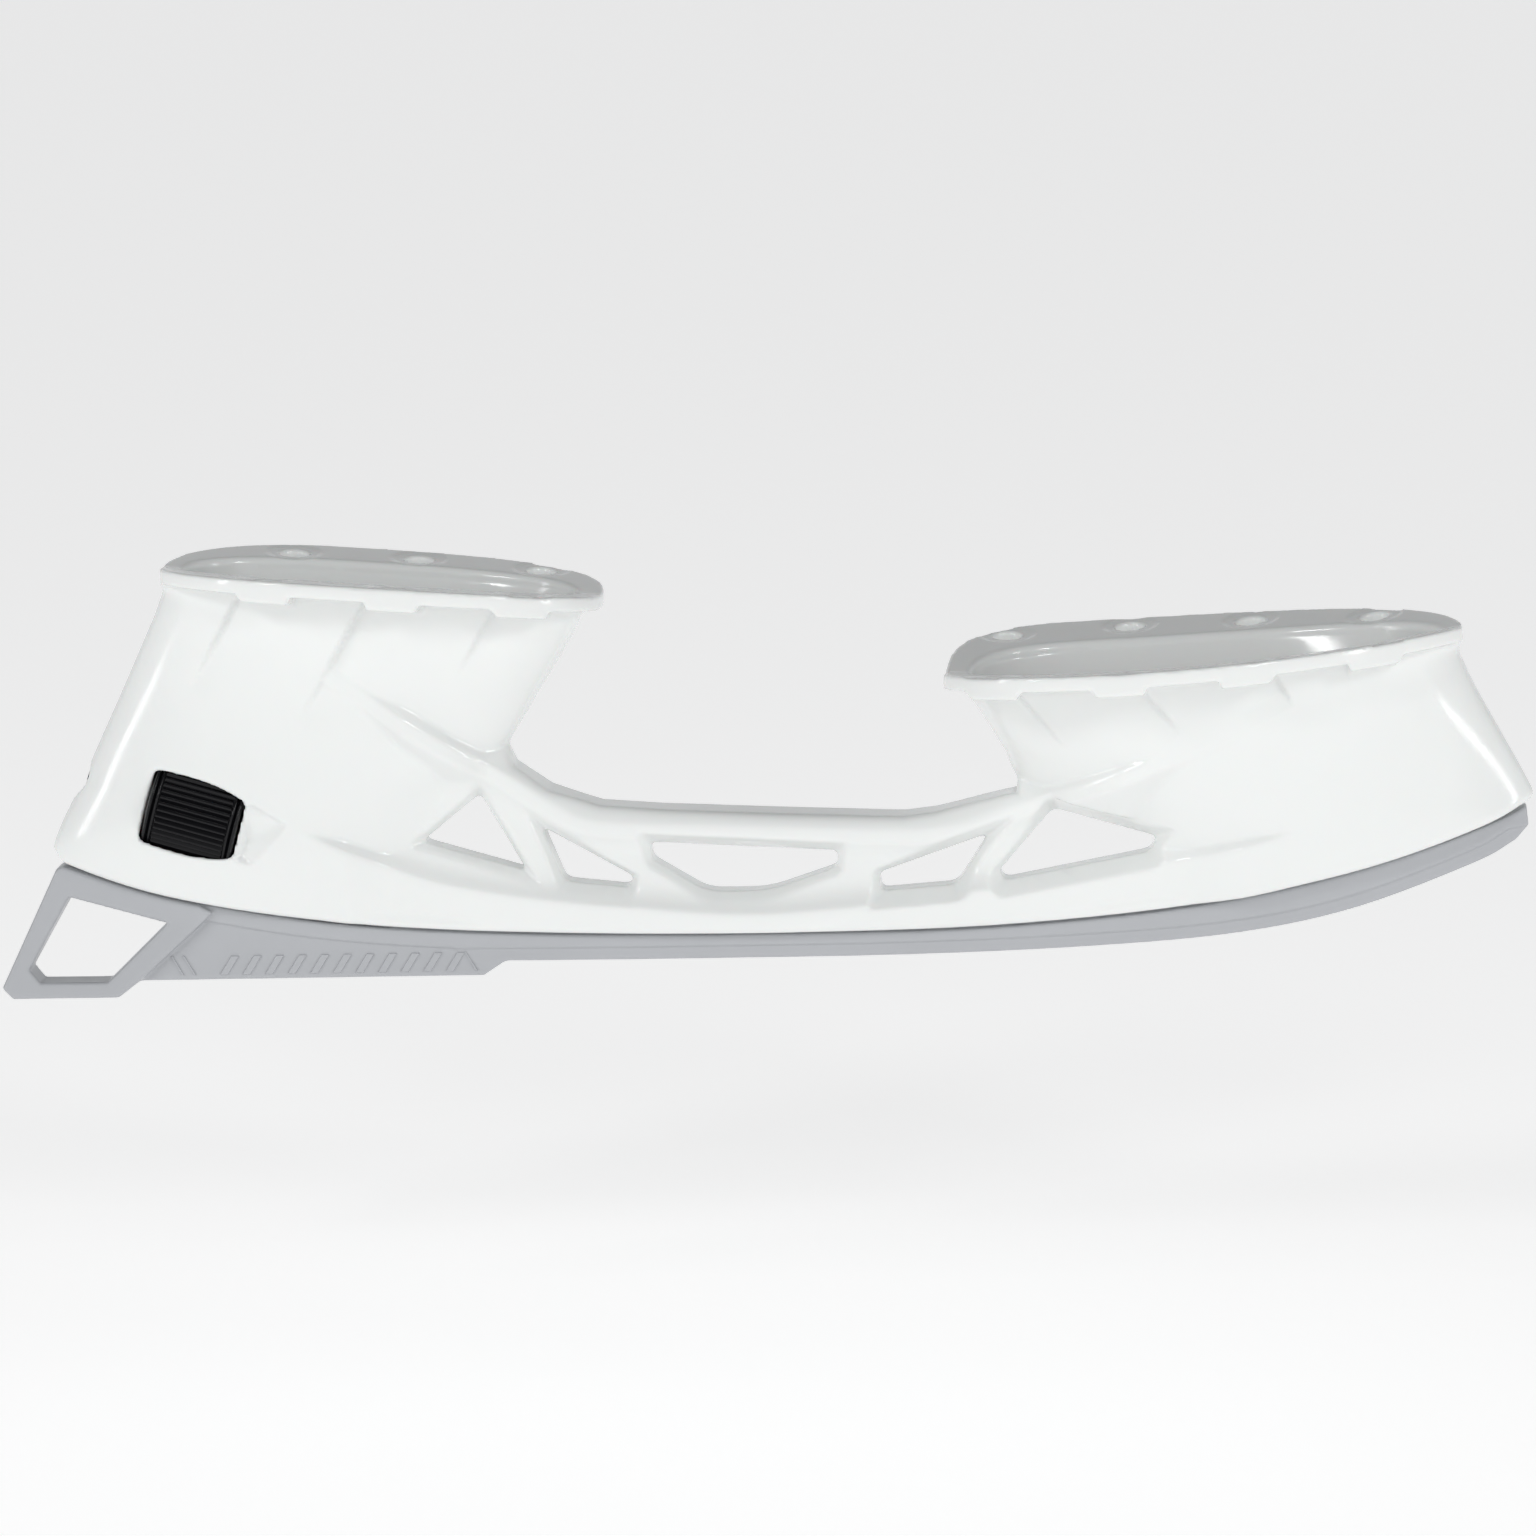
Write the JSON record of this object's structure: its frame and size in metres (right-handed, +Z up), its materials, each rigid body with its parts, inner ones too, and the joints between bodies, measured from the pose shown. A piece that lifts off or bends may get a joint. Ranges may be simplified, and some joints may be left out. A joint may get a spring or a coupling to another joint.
{
  "type": "skate blade holder",
  "caption": "Ice skate blade holder with two hollow towers, a truss bridge, a thumbwheel blade lock and a grey blank runner with a pull handle.",
  "frame": {"origin": "middle of the heel flange, level with the outer rims of its two wings", "axes": "+X to the toe, +Z up to the boot, -Y is the near side; the skate is symmetric about Y = 0"},
  "size_m": [0.2819, 0.0696, 0.0821],
  "materials": {
    "shell_white": "glossy injection-moulded nylon",
    "runner_grey": "satin moulded plastic",
    "lock_black": "gloss black moulded plastic",
    "lock_steel": "bright turned steel",
    "lock_brass": "turned brass"
  },
  "bodies": {
    "shell": {"holder": "shell_white", "lock_cage_upper": "lock_black", "lock_cage_lower": "lock_black", "click_spring": "lock_steel", "rear_thrust_washer": "lock_steel", "front_thrust_washer": "lock_steel", "rod_guide_bush": "lock_brass", "rear_plug": "lock_black"},
    "wheel": {"thumbwheel": "lock_black", "wheel_nut": "lock_brass"},
    "hook": {"tension_hook": "lock_steel", "stop_clip": "lock_steel"},
    "runner": {"runner_insert": "runner_grey"}
  },
  "joints": [
    {"name": "wheel_spin", "type": "hinge", "parent": "shell", "child": "wheel", "pos_m": [-0.0341, 0, -0.0453], "axis": [0.9664, 0, -0.2571], "range_deg": [0, 1800]},
    {"name": "hook_slide", "type": "slide", "parent": "shell", "child": "hook", "axis": [0.9664, 0, -0.2571], "range_m": [-0.005, 0]},
    {"name": "runner_swing", "type": "hinge", "parent": "shell", "child": "runner", "pos_m": [0.2096, 0, -0.0416], "axis": [0, -1, 0], "range_deg": [0, 12]}
  ],
  "couplings": [
    {"joint": "hook_slide", "follows": "wheel_spin", "m_per_rad": -0.00015915}
  ]
}
